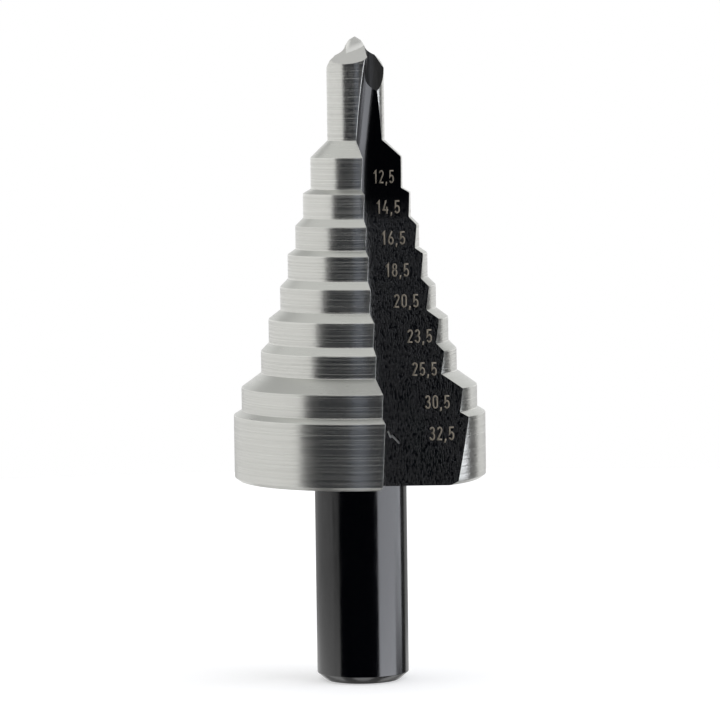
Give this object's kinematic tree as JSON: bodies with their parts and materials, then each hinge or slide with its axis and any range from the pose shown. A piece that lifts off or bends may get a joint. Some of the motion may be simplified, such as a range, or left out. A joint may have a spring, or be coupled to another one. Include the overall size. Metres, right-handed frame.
{
  "type": "step drill",
  "caption": "Two-flute step drill with a split-point pilot, ground steps of rising diameter and a round shank, for drilling and widening holes in sheet metal.",
  "frame": {"origin": "centre of the shank's end face, on which the drill stands", "axes": "+Z along the drill's axis towards the point, -Y out of the front flute, +X to the right seen from the front"},
  "size_m": [0.0314, 0.0324, 0.0804],
  "materials": {
    "ground_steel": "circumferentially ground, bright",
    "black_oxide": "black oxide on ground steel, satin",
    "laser_mark": "matt beige-grey marking"
  },
  "bodies": {
    "root": {"step_drill": "ground_steel"}
  },
  "joints": []
}
